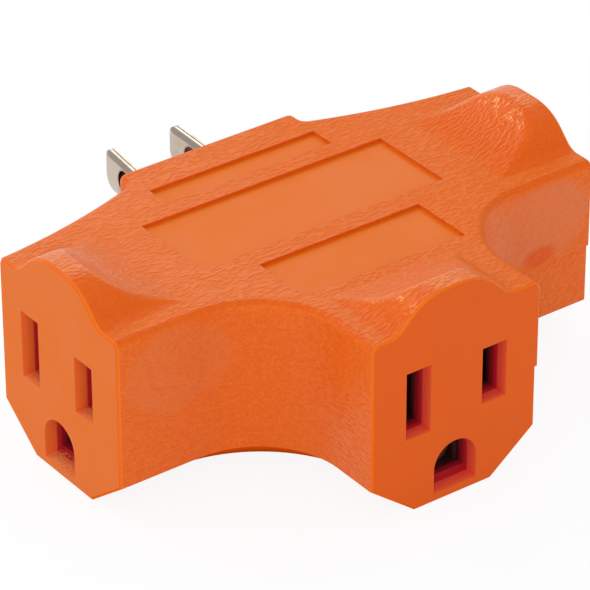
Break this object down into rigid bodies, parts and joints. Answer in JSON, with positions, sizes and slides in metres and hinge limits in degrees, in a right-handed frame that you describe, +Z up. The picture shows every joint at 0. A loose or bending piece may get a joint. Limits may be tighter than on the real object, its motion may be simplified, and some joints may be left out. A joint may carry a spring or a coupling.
{
  "type": "three-outlet tap",
  "caption": "Over-moulded vinyl outlet tap: humped grounded outlets on its left, front and right, plug blades and a ground pin at its back.",
  "frame": {"origin": "in the base plane, on the flat underside, below the crossing of the three outlets' centre lines", "axes": "+Z up; -Y the way the front outlet faces and +Y the way the plug's blades point; +X to the right as seen from the front"},
  "size_m": [0.08, 0.0783, 0.033],
  "materials": {
    "vinyl": "semi-gloss with a fine leather grain",
    "core": "moulded, matt",
    "brass": "stamped, bright",
    "nickel": "nickel plated, satin, a little tarnished"
  },
  "bodies": {
    "root": {"body": "vinyl", "neutral_blade": "nickel", "line_blade": "nickel", "ground_pin": "nickel", "core_base": "core", "core_tray": "core", "core_cover": "core", "neutral_bus": "brass", "line_bus": "brass", "ground_bus": "brass", "neutral_rivets": "brass", "line_rivets": "brass", "ground_rivets": "brass", "left_neutral_contact": "nickel", "left_line_contact": "nickel", "left_ground_contact": "nickel", "front_neutral_contact": "nickel", "front_line_contact": "nickel", "front_ground_contact": "nickel", "right_neutral_contact": "nickel", "right_line_contact": "nickel", "right_ground_contact": "nickel"}
  },
  "joints": []
}
